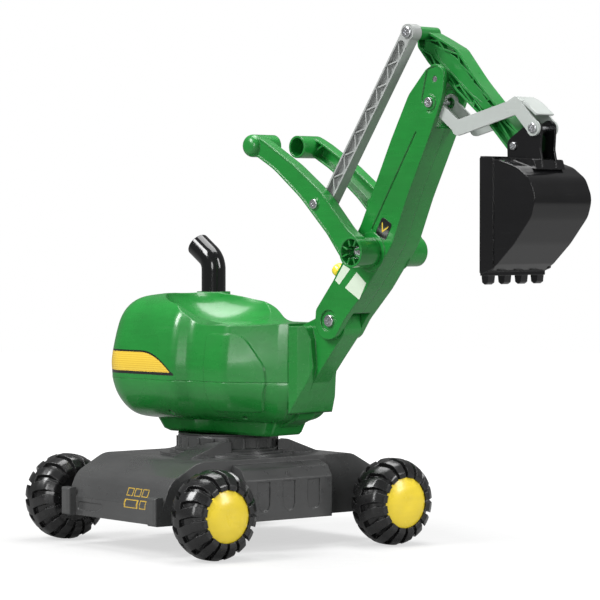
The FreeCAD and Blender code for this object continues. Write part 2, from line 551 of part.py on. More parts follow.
def boom_half(side):
    """One of the boom's two mouldings; side -1 is the rider's right."""
    y0, y1 = sorted((0.0, side * BOOM_HALF))
    body = slab(boom_outline(), y0, y1)
    fx, fz = BOOM_FOOT
    gx, gz = LINK_PIVOT
    ux, uz = (gx - fx), (gz - fz)
    ul = math.hypot(ux, uz)
    ux, uz = ux / ul, uz / ul
    inner = BOOM_HALF - EAR

    def above(back):
        """Everything past a line across the boom, back mm short of the link pivot."""
        cx, cz = gx - ux * back, gz - uz * back
        w, h = 80.0, 130.0
        pts = [(cx - uz * w, cz + ux * w, 0), (cx - uz * w + ux * h, cz + ux * w + uz * h, 0),
               (cx + uz * w + ux * h, cz - ux * w + uz * h, 0), (cx + uz * w, cz - ux * w, 0)]
        return pts
    p0, p1 = sorted((-side * 1.0, side * (BOOM_HALF - WALL)))
    hollow = inset_slab(boom_outline(), WALL, p0, p1)
    hollow = hollow.cut(slab(above(26 + WALL), -60, 60)).cut(pin(BOOM_FOOT, 43, -60, 60))
    body = body.cut(hollow)
    q0, q1 = sorted((-side * 1.0, side * inner))
    body = body.cut(slab(above(26), q0, q1))
    c0, c1 = sorted((-side * 1.0, side * (TONGUE_HALF + SIDE)))
    body = body.cut(pin(BOOM_FOOT, 40, c0, c1))
    below = [(fx - 60, fz + 6, 0), (fx + 2, fz + 6, 0), (fx + 60, fz - 30, 0), (fx + 60, fz - 60, 0),
             (fx - 60, fz - 60, 0)]
    body = body.cut(slab(below, c0, c1))
    b0, b1 = sorted((0.0, side * (BOOM_HALF - 1)))
    extra = [pin(LEVER_PIVOT, 9, b0, b1)] + [pin(p, 5, b0, b1) for p in BOOM_SCREWS]
    for t in (0.30, 0.42, 0.54, 0.66, 0.76):
        cx, cz = boom_axis(t)
        extra.append(slab([(cx - uz * 60, cz + ux * 60, 0), (cx - uz * 60 + ux * RIB, cz + ux * 60 + uz * RIB, 0),
                           (cx + uz * 60 + ux * RIB, cz - ux * 60 + uz * RIB, 0),
                           (cx + uz * 60, cz - ux * 60, 0)], b0, b1)
                     .common(slab(boom_outline(), b0, b1)))
    body = join(body, extra)
    # boss under each lever hub, raised lip round the foot bolt
    m0, m1 = sorted((side * (BOOM_HALF - 1), side * (BOOM_HALF + 1.0)))
    body = join(body, [pin(LEVER_PIVOT, 27, m0, m1).common(slab(boom_outline(), m0, m1).fuse(
        pin(LEVER_PIVOT, 27, m0, m1)))])
    f0, f1 = sorted((side * (BOOM_HALF - 2.5), side * (BOOM_HALF + 3)))
    body = body.cut(pin(BOOM_FOOT, 15, f0, f1))
    # recessed panel in each ear and a long groove down the flank
    sx, sz = STICK_PIVOT
    g0, g1 = sorted((side * (BOOM_HALF - 1.5), side * (BOOM_HALF + 3)))
    panel = [(sx - 13, sz + 14, 4), (sx + 2, sz + 18, 8), (sx + 14, sz + 9, 6), (434, 632, 20),
             (gx + 4, gz - 22, 8), (gx - 14, gz + 4, 6)]
    body = body.cut(slab(panel, g0, g1))
    body = join(body, [pin(LINK_PIVOT, 11, *sorted((side * inner, side * BOOM_HALF)))])
    body = body.cut(bar((392, 586), (312, 456), 1.2, g0, g1))
    # bores
    body = body.cut(pin(BOOM_FOOT, BOLT_R + SEAT, -60, 60)).cut(pin(LEVER_PIVOT, BOLT_R + SEAT, -60, 60))
    body = body.cut(pin(STICK_PIVOT, BOLT_R + SEAT, -60, 60)).cut(pin(LINK_PIVOT, SCREW_R + SEAT, -60, 60))
    for p in BOOM_SCREWS:
        body = body.cut(pin(p, 1.8 + SEAT, -60 if side < 0 else -1, BOOM_HALF + 5).cut(
            pin(p, 3, -BOOM_HALF - 5, -14)))
        if side > 0:
            body = body.cut(pin(p, 4.0, BOOM_HALF - 2.5, BOOM_HALF + 5))
    kx, kz = KNOB_AT
    nx, nz = KNOB_DIR
    body = body.cut(cyl(KNOB_STEM_R + SEAT + 0.2, (kx - nx * 14, 0, kz - nz * 14), (nx, 0, nz), 30))
    return body


def boom_screws():
    out = []
    for p in BOOM_SCREWS:
        out.append(join(pin(p, 1.8, -13.5, BOOM_HALF - 2), [pin(p, 3.8, BOOM_HALF - 2.4, BOOM_HALF - 0.4)]))
    return Part.makeCompound(out)


# hand knob screwed into the back of the boom's foot
KNOB_AT = (240.5, 386.0)
KNOB_DIR = (-math.sin(math.radians(55)), math.cos(math.radians(55)))
KNOB_STEM_R = 4.5


def knob():
    x, z = KNOB_AT
    nx, nz = KNOB_DIR
    stem = cyl(KNOB_STEM_R, (x - nx * 9, 0, z - nz * 9), (nx, 0, nz), 25)
    head = cyl(9.5, (x + nx * 14, 0, z + nz * 14), (nx, 0, nz), 13)
    head = head.makeFillet(4.0, [e for e in head.Edges if e.Curve.TypeId == "Part::GeomCircle"])
    return join(head, [stem])


# ---- levers -------------------------------------------------------------------------------------
def lever_outline():
    px, pz = LEVER_PIVOT
    gx, gz = GRIP
    return [(px - 20, pz - 6, 14), (265, 448, 60), (214, 498, 150), (161, 539, 150), (gx + 4, gz - 12, 8),
            (gx - 6, gz + 4, 8), (gx + 8, gz + 14, 8), (148, 575, 60), (201, 544, 150), (255, 505, 150),
            (px - 6, 454, 60), (px + 14, pz + 18, 14), (px + 10, pz - 16, 14)]


def lever(side):
    """Control lever; side -1 is the rider's right.  Built on the right and mirrored."""
    out, inn = LEVER_OUT, LEVER_IN
    body = slab(lever_outline(), -out, -inn)
    body = body.cut(inset_slab(lever_outline(), WALL, -out + WALL, -inn + 1))
    body = body.cut(inset_slab(lever_outline(), 2.6, -out - 1, -out + 1.0))
    ribs = []
    n = 9
    hx, hz = along(LEVER_PIVOT, GRIP, 0.12)
    for i in range(n):
        a, b = i / n, (i + 1) / n
        for s in (-1, 1):
            p, q = along((hx, hz), GRIP, a), along((hx, hz), GRIP, b)
            off = 26.0
            p = (p[0] + s * off * 0.58, p[1] + s * off * 0.81)
            q = (q[0] - s * off * 0.58, q[1] - s * off * 0.81)
            ribs.append(bar(p, q, RIB / 2, -out + 1.5, -inn - 0.5))
    lattice = Part.makeCompound(ribs).common(slab(lever_outline(), -out + 1.2, -inn - 0.4))
    body = body.fuse(lattice.Solids)
    body = join(body, [pin(LEVER_PIVOT, HUB_R, -out, -BOOM_HALF - 1.0 - SIDE), pin(ROD_LOW, 9, -out + 0.5, -inn)])
    cup = pin(LEVER_PIVOT, HUB_R - WALL, -out - 1, -out + 17)
    fins = []
    for i in range(8):
        a = math.radians(45 * i + 20)
        px, pz = LEVER_PIVOT
        tip = (px + 19 * math.cos(a), pz + 19 * math.sin(a))
        fins.append(bar(along(LEVER_PIVOT, tip, 0.5), tip, RIB / 2, -out + 1.5, -out + 18))
    body = body.cut(cup).fuse(fins).removeSplitter()
    body = body.cut(pin(LEVER_PIVOT, BOLT_R + (RUN if side < 0 else SEAT), -90, 0))
    body = body.cut(pin(LEVER_PIVOT, 12.5, -BOOM_HALF - 12, -BOOM_HALF).cut(pin(LEVER_PIVOT, 8, -60, 0)))
    # grip across the lever's end, domed outside and open inside
    grip = pin(GRIP, GRIP_R, -76, -24)
    rim = [e for e in grip.Edges if abs(e.CenterOfMass.y + 76) < 0.1]
    grip = grip.makeFillet(12, rim)
    body = join(body, [grip]).cut(pin(GRIP, GRIP_R - WALL, -62, -20))
    if side < 0:
        body = body.cut(pin(ROD_LOW, SCREW_R + SEAT, -90, 0))
    return body if side < 0 else mirror_y(body)


def rod():
    """Ribbed link rod on the rider's right, from lever to stick."""
    y0, y1 = -ROD_OUT, -ROD_IN
    p, q = ROD_LOW, ROD_HIGH
    body = bar(p, q, 9.5, y0, y1)
    inner_p, inner_q = along(p, q, 0.075), along(p, q, 0.925)
    web = (y0 + y1) / 2
    body = body.cut(bar(inner_p, inner_q, 7.0, y0 - 1, web - 1.2)).cut(bar(inner_p, inner_q, 7.0, web + 1.2, y1 + 1))
    ribs = []
    n = 13
    ux, uz = (q[0] - p[0]), (q[1] - p[1])
    ul = math.hypot(ux, uz)
    nx, nz = -uz / ul, ux / ul
    for i in range(n):
        a, b = along(inner_p, inner_q, i / n), along(inner_p, inner_q, (i + 1) / n)
        s = 7.5 if i % 2 else -7.5
        ribs.append(bar((a[0] + nx * s, a[1] + nz * s), (b[0] - nx * s, b[1] - nz * s), 1.0, y0 + 1.5, y1 - 1.5))
    body = join(body, ribs + [pin(p, 11.5, y0, y1), pin(q, 11.5, y0, y1)])
    body = body.cut(pin(p, SCREW_R + 1.8, y0 - 1, y1 + 1)).cut(pin(q, SCREW_R + RUN, y0 - 1, y1 + 1))
    return body


# ---- stick --------------------------------------------------------------------------------------
def stick_outline():
    qx, qz = ROD_HIGH
    kx, kz = BUCKET_PIVOT
    return [(qx - 14, qz + 11, 9), (420, 713, 300), (452, 697, 25), (488, 654, 300), (520, 622, 300),
            (kx + 11, kz + 12, 5), (kx + 9, kz - 9, 8), (kx - 9, kz - 9, 8), (509, 594, 60),
            (447, 644, 300), (403, 678, 60), (qx - 12, qz - 18, 8)]


def between(path, t):
    """Point at fraction t along a polyline."""
    spans = [math.dist(a, b) for a, b in zip(path, path[1:])]
    want = t * sum(spans)
    for a, b, s in zip(path, path[1:], spans):
        if want <= s:
            return along(a, b, want / s)
        want -= s
    return path[-1]


def stick():
    hw = STICK_HALF
    body = slab(stick_outline(), -hw, hw)
    for y0, y1 in ((-hw - 1, -1.5), (1.5, hw + 1)):
        body = body.cut(inset_slab(stick_outline(), WALL, y0, y1))
    top = [(400, 718), (450, 694), (488, 650), (556, 576)]
    upper = [(396, 711), (433, 695), (450, 684), (480, 651), (515, 612)]
    lower = [(392, 702), (416, 681), (446, 657), (471, 636), (508, 606)]
    low = [(386, 700), (403, 682), (447, 648), (509, 598), (545, 567)]
    band = [(396, 711, 4), (433, 695, 40), (450, 684, 20), (480, 651, 60), (517, 610, 3), (509, 604, 3),
            (471, 636, 100), (446, 657, 60), (416, 681, 60), (390, 701, 5)]
    extra = [slab(band, -8, 8)]
    n = 9
    for i in range(n):
        a, b = i / n, (i + 1) / n
        s, t = (a, b) if i % 2 else (b, a)
        extra.append(bar(between(top, s * 0.86), between(upper, t), RIB / 2, -hw + 1, hw - 1))
        extra.append(bar(between(lower, s), between(low, t * 0.9), RIB / 2, -hw + 1, hw - 1))
    mid = between(upper, 1.0)
    kx, kz = BUCKET_PIVOT
    for end in ((kx + 8, kz + 10), (kx - 3, kz), (mid[0] + 16, mid[1] + 4), (mid[0] - 14, mid[1] - 12)):
        extra.append(bar(mid, end, RIB / 2, -hw + 1, hw - 1).common(slab(stick_outline(), -hw, hw)))
    extra += [pin(STICK_PIVOT, 13, -BOOM_HALF + EAR + SIDE, BOOM_HALF - EAR - SIDE),
              bar(STICK_PIVOT, (430, 680), 9, -8, 8),
              pin(BUCKET_PIVOT, 9, -hw, hw), pin(ROD_HIGH, 9, -ROD_IN + SIDE, hw)]
    body = join(body, extra)
    body = body.cut(slab(band_inset(band), -hw - 1, -7)).cut(slab(band_inset(band), 7, hw + 1))
    body = body.cut(pin(STICK_PIVOT, BOLT_R + RUN, -60, 60)).cut(pin(BUCKET_PIVOT, SCREW_R + RUN, -60, 60))
    return body.cut(pin(ROD_HIGH, SCREW_R + SEAT, -60, 60))


def band_inset(band):
    """Shallow field inside the stick's middle band."""
    return [(404, 704, 3), (434, 691, 30), (449, 680, 20), (478, 649, 60), (503, 618, 2), (474, 637, 60),
            (450, 657, 60), (420, 682, 40)]


# ---- bucket and its link --------------------------------------------------------------------------
def bucket_outline():
    return [(536, 549, 4), (567, 546, 10), (596, 537, 30), (617, 522, 24), (628, 496, 30), (621, 472, 30),
            (592, 437, 60), (563, 410, 14), (548, 400, 4), (536, 398, 2)]


def bucket():
    y = BUCKET_HALF
    body = slab(bucket_outline(), -y, y)
    hollow = [(520, 549 - WALL, 0), (567, 546 - WALL, 9), (594, 534, 27), (614, 520, 21), (625, 496, 27),
              (618, 474, 27), (590, 440, 57), (561, 413, 12), (546, 403, 3), (520, 402, 0)]
    body = body.cut(slab(hollow, -y + WALL, y - WALL))
    rim = []
    for s in (-1, 1):
        # thickened lips round the mouth
        lip = [(534, 551, 3), (557, 549, 2), (557, 404, 2), (534, 396, 3)]
        rim.append(slab(lip, *sorted((s * (y - 2), s * (y + 1.5)))))
    rim.append(box(534, 541, -y, y, 546, 551.5))
    rim.append(box(534, 548, -y, y, 395, 402))
    for ty in (-50.0, -17.0, 17.0, 50.0):
        tooth = [(534, 402, 1), (548, 402, 2), (546, 386, 2), (541, 383, 2), (536, 386, 2)]
        rim.append(slab(tooth, ty - 6.5, ty + 6.5))
    kx, kz = BUCKET_PIVOT
    lx, lz = BUCKET_LINK
    ear = [(kx - 10, 540, 0), (kx - 11, kz + 6, 9), (kx - 2, kz + 13, 8), (lx - 10, lz + 7, 9), (lx, lz + 12, 9),
           (lx + 11, lz + 4, 9), (lx + 9, 560, 20), (lx + 14, 536, 0), (kx + 15, 540, 0)]
    inner = STICK_HALF + SIDE
    for s in (-1, 1):
        rim.append(slab(ear, *sorted((s * inner, s * (inner + BUCKET_EAR)))).cut(
            slab(hollow, -y, y)))
    # wide foot under the ears
    foot = [(kx - 12, 545, 0), (kx - 8, 550, 3), (lx + 10, 547, 3), (lx + 14, 534, 0)]
    rim.append(slab(foot, -30, 30).cut(slab(hollow, -y, y)))
    body = join(body, rim)
    body = body.cut(pin(BUCKET_PIVOT, SCREW_R + SEAT, -40, 40))
    return body.cut(pin(BUCKET_LINK, SCREW_R + RUN, -40, 40))


def link_half(side):
    inner = STICK_HALF + SIDE + BUCKET_EAR + SIDE
    y0, y1 = sorted((side * inner, side * (inner + LINK_ARM)))
    b1, b2 = (461, 591), (563, 617)
    arm = bar(LINK_PIVOT, b1, 8.5, y0, y1)
    return arm.fuse([bar(b1, b2, 10.5, y0, y1), bar(b2, BUCKET_LINK, 9.5, y0, y1),
                     pin(LINK_PIVOT, 12.5, y0, y1), pin(BUCKET_LINK, 10.5, y0, y1)])


def bucket_link():
    inner = STICK_HALF + SIDE + BUCKET_EAR + SIDE
    body = link_half(-1).fuse(link_half(1))
    crest = [(543, 623, 4), (559, 631, 8), (577, 622, 8), (597, 606, 1), (593.5, 604.5, 0), (574.5, 619, 8),
             (559, 627.6, 8), (544, 620, 3)]
    body = join(body, [slab(crest, -inner - 1, inner + 1)])
    body = body.cut(pin(LINK_PIVOT, SCREW_R + LINK_PLAY, -60, 60))
    return body.cut(pin(BUCKET_LINK, SCREW_R + SEAT, -60, 60))


# ---- build and write every piece ------------------------------------------------------------------
os.makedirs("parts", exist_ok=True)

save("base_shell", base_shell(), True)
save("neck_ring", neck_ring(), True)
for name, sy in (("axle_right", -1), ("axle_left", 1)):
    rod_shape = cyl(AXLE_R, (-TRACK / 2 - 24, sy * WHEELBASE / 2, WHEEL_R), (1, 0, 0), TRACK + 48)
    save(name, rod_shape, True)
one_wheel, one_cap = wheel(), hubcap()
caps = []
for tag, sx, sy in (("arm_right", 1, -1), ("arm_left", 1, 1), ("rear_right", -1, -1), ("rear_left", -1, 1)):
    save("wheel_" + tag, placed(one_wheel, sx, sy), True)
    save("hubcap_" + tag, placed(one_cap, sx, sy), True)
    x0 = WHEEL_W / 2 - 16 + 0.4
    push_nut = cyl(9, (x0, 0, 0), (1, 0, 0), 2.5).cut(cyl(AXLE_R + SEAT, (x0 - 1, 0, 0), (1, 0, 0), 5))
    caps.append(placed(push_nut, sx, sy))
save("axle_push_nuts", Part.makeCompound(caps), True)
king = join(cyl(KING_R, (0, 0, 84), (0, 0, 1), 98), [hexagon(16, (0, 0, 86), (0, 0, 1), 6)])
save("swivel_bolt", king, True)
king_washer = cyl(15, (0, 0, TUB_Z + 10.3), (0, 0, 1), 1.5).cut(cyl(KING_R + SEAT, (0, 0, TUB_Z), (0, 0, 1), 30))
save("swivel_washer", king_washer, True)
king_nut = hexagon(15, (0, 0, TUB_Z + 11.9), (0, 0, 1), 7).cut(cyl(KING_R + SEAT, (0, 0, TUB_Z), (0, 0, 1), 30))
save("swivel_nut", king_nut, True)
slide = cyl(NECK_R - 0.5, (0, 0, NECK_TOP + 0.1), (0, 0, 1), 2.0).cut(cyl(NECK_R - 12, (0, 0, NECK_TOP), (0, 0, 1), 4))
save("slide_ring", slide, True)

save("body_lower", lower_shell())
save("body_upper", upper_shell())
save("body_screws", shell_screws())
save("exhaust", exhaust())

save("boom_right", boom_half(-1))
save("boom_left", boom_half(1))
save("boom_screws", boom_screws())
save("boom_foot_bolt", bolt(BOOM_FOOT, BOLT_R, -BOOM_HALF + 2.3, BOOM_HALF + 3, 8.5, 3.6))
save("boom_foot_nut", nut(BOOM_FOOT, BOLT_R, BOOM_HALF - 2.3, BOOM_HALF + 2.4, 13))
save("lock_knob", knob())
save("lever_left", lever(1))
save("lever_right", lever(-1))
lever_end = LEVER_OUT - 17
save("lever_bolt", bolt(LEVER_PIVOT, BOLT_R, -lever_end - 0.4, lever_end + 7, 7.5, 3.4))
save("lever_nut", nut(LEVER_PIVOT, BOLT_R, lever_end + 0.2, lever_end + 5.2, 12))
save("stick_bolt", pin(STICK_PIVOT, BOLT_R, -BOOM_HALF + 2, BOOM_HALF - 2))
save("link_bolt", bolt(LINK_PIVOT, SCREW_R, -BOOM_HALF - 0.1, BOOM_HALF + 4, 7.0, 3.2))
save("link_nut", nut(LINK_PIVOT, SCREW_R, BOOM_HALF + 0.1, BOOM_HALF + 3.6, 10))

save("link_rod", rod())
save("rod_low_screw", bolt(ROD_LOW, SCREW_R, -LEVER_OUT - 0.1, -ROD_IN + 2.4, 7.0, 3.0))
save("rod_low_washer", washer(ROD_LOW, SCREW_R, 9.5, -ROD_IN + 0.4, -ROD_IN + 2.2))
save("rod_high_screw", bolt(ROD_HIGH, SCREW_R, -ROD_OUT - 0.4, STICK_HALF + 4, 7.5, 3.2))
save("rod_high_nut", nut(ROD_HIGH, SCREW_R, STICK_HALF + 0.1, STICK_HALF + 3.6, 10))

save("stick", stick())
ear_out = STICK_HALF + SIDE + BUCKET_EAR
save("bucket", bucket())
save("bucket_bolt", bolt(BUCKET_PIVOT, SCREW_R, -ear_out - 0.1, ear_out + 3.4, 5.5, 2.4))
save("bucket_nut", nut(BUCKET_PIVOT, SCREW_R, ear_out + 0.1, ear_out + 2.9, 9))
save("bucket_link", bucket_link())
link_out = ear_out + SIDE + LINK_ARM
save("bucket_link_bolt", bolt(BUCKET_LINK, SCREW_R, -link_out - 0.1, link_out + 4, 6.5, 2.8))
save("bucket_link_nut", nut(BUCKET_LINK, SCREW_R, link_out + 0.1, link_out + 3.4, 9.5))
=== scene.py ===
# %% [markdown]
# # A ride-on digger in moulded plastic
# This lesson dresses a finished CAD model of a child's digger. The shapes are already right, so the
# work here is finish: what glossy polypropylene, blow-moulded tyres and zinc-plated screws look like.
# Everything is in metres, +Z is up and the arm points along +X.

# %% Load the frame
import bpy, bmesh, json, math
from mathutils import Matrix, Vector


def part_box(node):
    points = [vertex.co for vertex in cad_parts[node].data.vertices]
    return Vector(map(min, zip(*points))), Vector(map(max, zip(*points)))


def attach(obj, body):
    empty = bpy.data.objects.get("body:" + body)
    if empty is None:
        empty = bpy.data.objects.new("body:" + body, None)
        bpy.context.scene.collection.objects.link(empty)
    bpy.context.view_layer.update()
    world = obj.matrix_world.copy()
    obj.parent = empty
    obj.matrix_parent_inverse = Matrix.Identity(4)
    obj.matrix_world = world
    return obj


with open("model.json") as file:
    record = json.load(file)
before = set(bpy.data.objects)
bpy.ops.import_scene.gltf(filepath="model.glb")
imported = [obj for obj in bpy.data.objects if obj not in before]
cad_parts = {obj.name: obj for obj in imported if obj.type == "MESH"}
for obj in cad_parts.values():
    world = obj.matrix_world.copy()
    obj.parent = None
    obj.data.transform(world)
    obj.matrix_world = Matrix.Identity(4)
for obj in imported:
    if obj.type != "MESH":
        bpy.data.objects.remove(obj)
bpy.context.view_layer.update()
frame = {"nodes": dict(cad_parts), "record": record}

nodes = frame["nodes"]
pivots = {joint["name"]: joint["pos_m"] for joint in frame["record"]["behaviour"]["joints"]}

# %% [markdown]
# ## Camera
# A long lens, about four metres away and just above the levers' height, keeps the uprights parallel.
# The camera is turned by building its axes from the direction it looks along.

# %% Camera
def aim(obj, place, forward):
    """Put obj at place, looking along forward, with its top towards +Z."""
    turn = Vector(forward).to_track_quat("-Z", "Y").to_matrix().to_4x4()
    obj.matrix_world = Matrix.Translation(place) @ turn

CAMERA_PLACE = (3.035, -2.959, 0.4706)
HEADING = (-0.6984, 0.7157)             # level direction of view, of unit length
tilt = math.radians(1.61)               # how far the camera looks down
ahead = Vector((HEADING[0] * math.cos(tilt), HEADING[1] * math.cos(tilt), -math.sin(tilt)))
camera = bpy.data.objects.new("camera", bpy.data.cameras.new("camera"))
camera.data.lens, camera.data.sensor_width = 175.1, 36.0    # millimetres
camera.data.clip_end = 60
bpy.context.scene.collection.objects.link(camera)
aim(camera, CAMERA_PLACE, ahead)
bpy.context.scene.camera = camera
print("camera", [round(v, 3) for v in camera.location])

# %% [markdown]
# ## Node helpers
# Each finish is a small tree of shader nodes. A few short helpers keep the trees readable: they add a
# node, feed a socket, make noise on object coordinates, stretch or mix values, and do arithmetic.
# Object coordinates are in metres, so a noise scale of 1000 gives grain about a millimetre across.

# %% Node helpers
class Tree:
    """A material's nodes, with short ways to add and join them."""

    def __init__(self, name):
        self.mat = bpy.data.materials.new(name)
        self.mat.use_nodes = True
        self.nodes, self.links = self.mat.node_tree.nodes, self.mat.node_tree.links
        self.shader = self.nodes["Principled BSDF"]
        self.place = self.add("ShaderNodeTexCoord").outputs["Object"]

    def add(self, kind, **settings):
        node = self.nodes.new(kind)
        for key, value in settings.items():
            setattr(node, key, value)
        return node

    def feed(self, socket, value):
        if isinstance(value, bpy.types.NodeSocket):
            self.links.new(value, socket)
        else:
            socket.default_value = value

    def noise(self, scale, detail=3.0, rough=0.5, stretch=(1, 1, 1), turn=(0, 0, 0)):
        """Noise on object coordinates; an axis with a small stretch gets long grain."""
        where = self.add("ShaderNodeMapping")
        self.feed(where.inputs["Vector"], self.place)
        where.inputs["Scale"].default_value = stretch
        where.inputs["Rotation"].default_value = turn
        tex = self.add("ShaderNodeTexNoise")
        self.feed(tex.inputs["Vector"], where.outputs[0])
        for key, value in (("Scale", scale), ("Detail", detail), ("Roughness", rough)):
            tex.inputs[key].default_value = value
        return tex.outputs["Fac"]

    def band(self, value, low, high, out_low=0.0, out_high=1.0):
        """Value stretched from low..high to out_low..out_high and held there."""
        node = self.add("ShaderNodeMapRange", clamp=True)
        for i, v in enumerate((value, low, high, out_low, out_high)):
            self.feed(node.inputs[i], v)
        return node.outputs[0]

    def calc(self, kind, a, b=0.0):
        """One Math node; b is left out for operations that take one value."""
        node = self.add("ShaderNodeMath", operation=kind)
        self.feed(node.inputs[0], a)
        self.feed(node.inputs[1], b)
        return node.outputs[0]

    def mix(self, amount, a, b):
        """Colour a where amount is 0 and b where it is 1; 6, 7 and 2 are the node's colour sockets."""
        node = self.add("ShaderNodeMix", data_type="RGBA")
        self.feed(node.inputs["Factor"], amount)
        self.feed(node.inputs[6], a)
        self.feed(node.inputs[7], b)
        return node.outputs[2]

    def bump(self, height, strength, distance, under=None):
        """Normal raised by height, on top of the normal under."""
        node = self.add("ShaderNodeBump")
        self.feed(node.inputs["Height"], height)
        node.inputs["Strength"].default_value = strength
        node.inputs["Distance"].default_value = distance
        if under is not None:
            self.feed(node.inputs["Normal"], under)
        return node.outputs[0]

print("node helpers ready")

# %% [markdown]
# ## Worn edges
# Moulded edges are rounded by about a millimetre and catch the light, and handling polishes or scuffs
# them first. The Bevel node gives a softened normal without touching the mesh. Where that normal
# leaves the flat one, there is an edge, so the same node also tells where to put wear.

# %% Edge mask
FLAT_DOT, EDGE_DOT = 0.995, 0.80    # dot of the two normals on a flat, and on a full edge

def soft_edges(tree, radius):
    """Returns the rounded normal and a 0..1 mask that is bright on edges."""
    bevel = tree.add("ShaderNodeBevel", samples=6)
    bevel.inputs["Radius"].default_value = radius
    flat = tree.add("ShaderNodeNewGeometry").outputs["Normal"]
    dot = tree.add("ShaderNodeVectorMath", operation="DOT_PRODUCT")
    tree.feed(dot.inputs[0], bevel.outputs[0])
    tree.feed(dot.inputs[1], flat)
    return bevel.outputs[0], tree.band(dot.outputs["Value"], FLAT_DOT, EDGE_DOT)

print("edge mask ready")

# %% [markdown]
# ## Moulded plastic
# One recipe serves all the plastics: colour that drifts a little with the melt, faint flow streaks,
# an orange-peel bump, hairline scratches that change only the roughness, and paler worn edges.
# Each finish sets its own colour, gloss and amount of wear.

# %% Moulded plastic recipe
def moulded(name, colour, rough, coat=0.0, peel=0.05, wear=0.35, drift=0.12, radius=0.0012,
            scratch=0.10):
    """Injection-moulded plastic; colour is linear RGB and radius is the soft edge's, in metres."""
    tree = Tree(name)
    deep = tuple(c * (1 - drift) for c in colour) + (1,)
    pale = tuple(min(1, c * (1 + drift)) for c in colour) + (1,)
    chalk = tuple(min(1, 0.55 * c + 0.16) for c in colour) + (1,)
    cloud = tree.noise(9.0, 4, 0.55)
    streak = tree.noise(30.0, 2, 0.5, stretch=(1, 1, 6))
    melt = tree.calc("ADD", cloud, tree.calc("MULTIPLY", streak, 0.4))
    base = tree.mix(tree.band(melt, 0.5, 0.9), deep, pale)
    normal, edge = soft_edges(tree, radius)
    patches = tree.band(tree.noise(70.0, 5, 0.65), 0.46, 0.66)
    worn = tree.calc("MULTIPLY", tree.calc("MULTIPLY", edge, patches), wear)
    base = tree.mix(worn, base, chalk)
    tree.feed(tree.shader.inputs["Base Color"], base)
    along_x = tree.noise(260.0, 2, 0.6, stretch=(0.06, 1, 1), turn=(0.2, 0.3, 0.5))
    along_y = tree.noise(310.0, 2, 0.6, stretch=(1, 0.05, 1), turn=(0.7, 0.1, 0.4))
    hair = tree.calc("MAXIMUM", tree.band(along_x, 0.66, 0.74), tree.band(along_y, 0.68, 0.76))
    smear = tree.band(tree.noise(16.0, 5, 0.6), 0.35, 0.7, rough * 0.82, rough * 1.25)
    dulled = tree.calc("ADD", tree.calc("MULTIPLY", hair, scratch), tree.calc("MULTIPLY", worn, 0.25))
    tree.feed(tree.shader.inputs["Roughness"], tree.calc("ADD", smear, dulled))
    fine = tree.noise(620.0, 2, 0.5)
    wave = tree.noise(55.0, 2, 0.5)
    bumped = tree.bump(fine, peel, 0.0004, normal)
    bumped = tree.bump(wave, 0.10, 0.0006, bumped)
    tree.feed(tree.shader.inputs["Normal"], tree.bump(hair, -0.05, 0.0002, bumped))
    tree.shader.inputs["Coat Weight"].default_value = coat
    tree.shader.inputs["Coat Roughness"].default_value = 0.09
    tree.shader.inputs["IOR"].default_value = 1.49
    tree.base, tree.worn = base, worn
    return tree

def body_green(name):
    return moulded(name, (0.010, 0.200, 0.028), 0.27, coat=0.3, radius=0.0028)

def base_graphite(name):
    return moulded(name, (0.055, 0.056, 0.056), 0.30, coat=0.35, wear=0.5, radius=0.0022,
                   scratch=0.16)

green = body_green("green_gloss")
green_rib = moulded("green_ribbed", (0.011, 0.190, 0.030), 0.32, coat=0.15, radius=0.0008)
link_silver = moulded("link_silver", (0.40, 0.43, 0.41), 0.30, coat=0.2, drift=0.05, wear=0.3,
                      radius=0.0012)
silver = moulded("silver_plastic", (0.33, 0.345, 0.335), 0.32, coat=0.1, drift=0.05, wear=0.3,
                 radius=0.0008)
neck_grey = moulded("neck_grey", (0.045, 0.047, 0.046), 0.26, coat=0.2, drift=0.08, radius=0.0008)
black = moulded("black_gloss", (0.0055, 0.0055, 0.006), 0.11, coat=0.1, drift=0.2, wear=0.25,
                radius=0.0015, scratch=0.14)
tyre = moulded("tyre_black", (0.0095, 0.0095, 0.0098), 0.27, coat=0.25, drift=0.25, wear=0.4,
               radius=0.0016, scratch=0.2)
yellow = moulded("yellow_gloss", (0.92, 0.70, 0.045), 0.28, coat=0.25, drift=0.06, wear=0.15,
                 radius=0.0015)
slide_plastic = moulded("slide_plastic", (0.020, 0.020, 0.020), 0.45, drift=0.1, wear=0.1)
plastics = (green, green_rib, link_silver, silver, neck_grey, black, tyre, yellow, slide_plastic)
print("plastics", [tree.mat.name for tree in plastics])

# %% [markdown]
# ## Zinc-plated steel
# Screws and nuts are bright, slightly bluish and brushed by the driver's bit. Tiny pits and a broken
# roughness keep them from looking like mirrors.

# %% Steel
def plated(name):
    tree = Tree(name)
    normal, edge = soft_edges(tree, 0.0004)
    dull = tree.noise(180.0, 4, 0.6)
    tone = tree.mix(tree.band(dull, 0.35, 0.7), (0.50, 0.51, 0.53, 1), (0.72, 0.73, 0.74, 1))
    bright = tree.mix(tree.calc("MULTIPLY", edge, 0.4), tone, (0.85, 0.85, 0.86, 1))
    tree.feed(tree.shader.inputs["Base Color"], bright)
    broken = tree.band(tree.noise(420.0, 3, 0.7), 0.3, 0.7, 0.16, 0.38)
    tree.feed(tree.shader.inputs["Roughness"], broken)
    pits = tree.bump(tree.noise(1400.0, 2, 0.5), 0.12, 0.0002, normal)
    tree.feed(tree.shader.inputs["Normal"], pits)
    tree.shader.inputs["Metallic"].default_value = 1.0
    return tree

steel = plated("zinc_steel")
print("steel", steel.mat.name)

